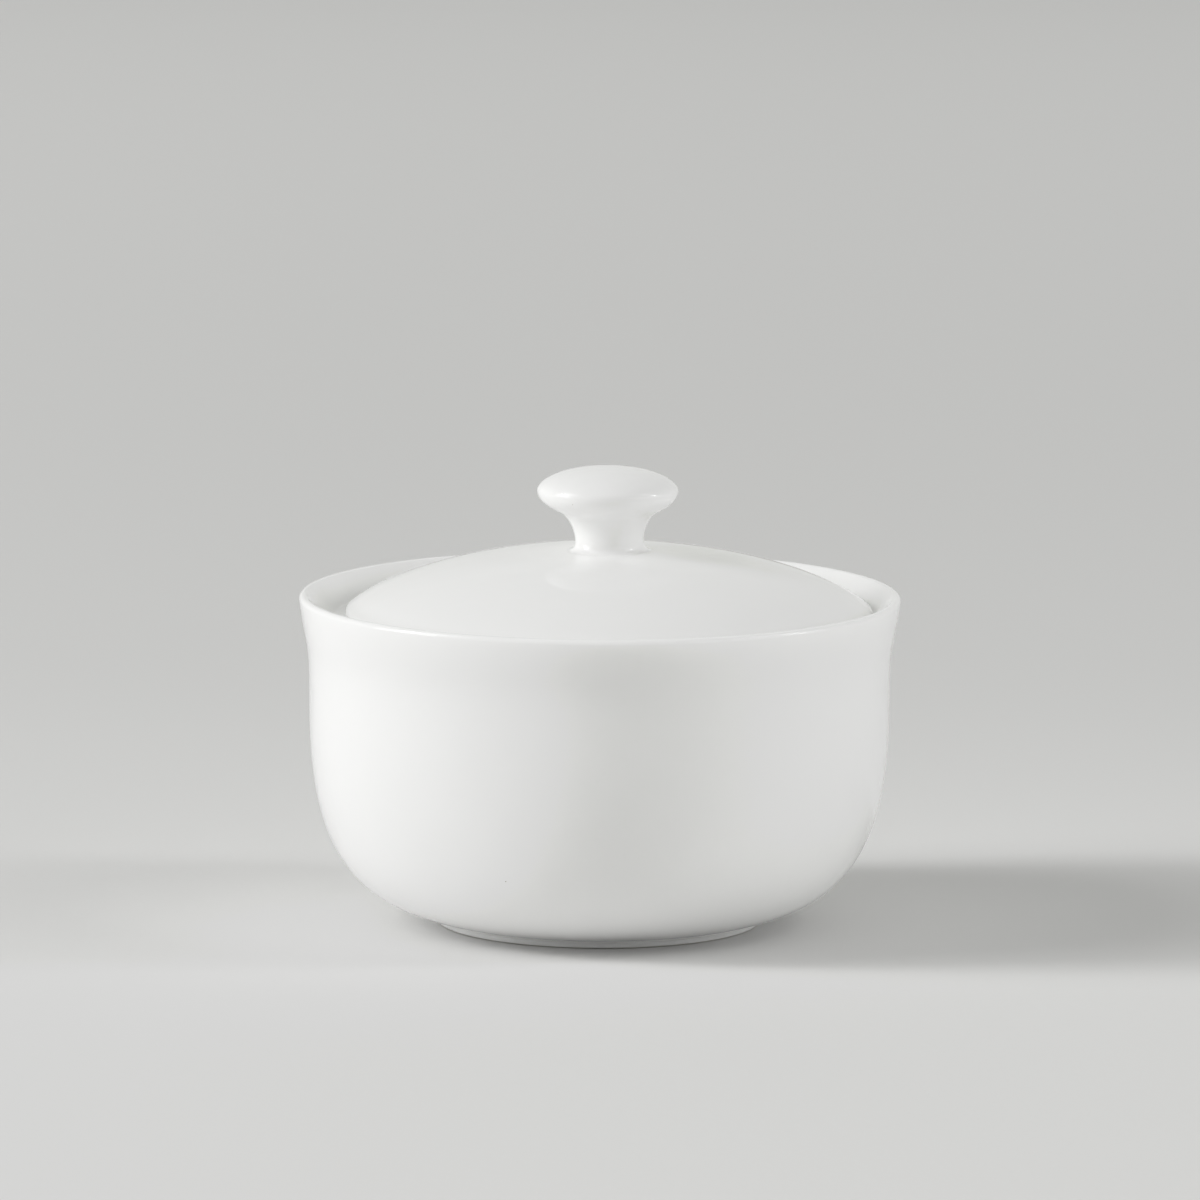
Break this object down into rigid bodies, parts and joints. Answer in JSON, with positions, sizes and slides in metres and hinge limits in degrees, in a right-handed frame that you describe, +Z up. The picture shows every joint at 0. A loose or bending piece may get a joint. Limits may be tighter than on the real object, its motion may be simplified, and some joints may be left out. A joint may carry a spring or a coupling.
{
  "type": "sugar bowl with lid",
  "caption": "Round white china sugar bowl on a low foot ring, with a domed lid that rests on a ledge inside the flared rim and lifts off by its mushroom knob.",
  "frame": {"origin": "middle of the foot ring's standing face, on the bowl's axis", "axes": "+Z up along the bowl's axis, towards the knob; +X to the right as seen from the front; -Y is the front"},
  "size_m": [0.11, 0.11, 0.084],
  "materials": {
    "bowl_glaze": "clear gloss glaze over white china, foot ring wiped bare",
    "lid_glaze": "clear gloss glaze over white china",
    "knob_glaze": "clear gloss glaze over white china, pooled thicker at the neck"
  },
  "bodies": {
    "bowl": {"bowl": "bowl_glaze"},
    "lid": {"lid": "lid_glaze", "knob": "knob_glaze"}
  },
  "joints": [
    {"name": "lid_lift", "type": "slide", "parent": "bowl", "child": "lid", "axis": [0, 0, 1], "range_m": [0, 0.08]}
  ]
}
